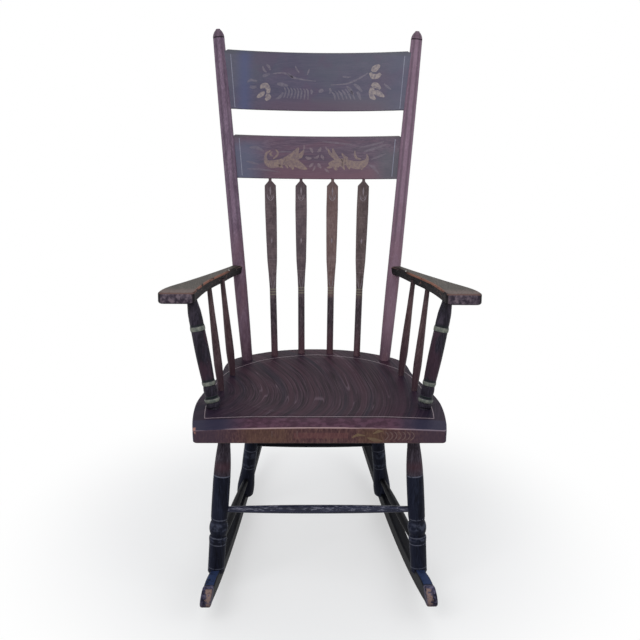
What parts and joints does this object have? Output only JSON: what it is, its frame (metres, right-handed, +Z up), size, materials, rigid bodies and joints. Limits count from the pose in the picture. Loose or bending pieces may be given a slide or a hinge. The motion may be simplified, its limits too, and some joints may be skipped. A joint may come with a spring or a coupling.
{
  "type": "rocking chair",
  "caption": "Boston-style wooden rocking chair: plank seat, splayed turned legs on curved rockers, bent back posts with bowed rails, flattened arrow spindles and wide flat arms.",
  "frame": {"origin": "on the floor under the middle of the chair's box, with the floor at the rockers' lowest line", "axes": "+Z up, -Y the way the sitter faces, +X towards the sitter's left hand"},
  "size_m": [0.674, 0.743, 1.1578],
  "materials": {
    "seat": "satin",
    "post": "satin",
    "spindle": "satin",
    "rail": "gloss",
    "arm": "satin",
    "arm_post": "satin",
    "leg": "satin",
    "rocker": "satin",
    "pin": "satin",
    "screw": "worn"
  },
  "bodies": {
    "root": {"seat": "seat", "back_post_left": "post", "back_post_right": "post", "crest_rail": "rail", "lower_back_rail": "rail", "arrow_spindle_1": "spindle", "arrow_spindle_2": "spindle", "arrow_spindle_3": "spindle", "arrow_spindle_4": "spindle", "arm_left": "arm", "arm_right": "arm", "arm_post_left": "arm_post", "arm_post_right": "arm_post", "arm_spindle_front_left": "arm_post", "arm_spindle_front_right": "arm_post", "arm_spindle_rear_left": "arm_post", "arm_spindle_rear_right": "arm_post", "front_leg_left": "leg", "front_leg_right": "leg", "rear_leg_left": "leg", "rear_leg_right": "leg", "rocker_left": "rocker", "rocker_right": "rocker", "front_stretcher": "leg", "rear_stretcher": "leg", "side_stretcher_left": "leg", "side_stretcher_right": "leg", "foot_pins": "pin", "arm_screws": "screw"}
  },
  "joints": []
}
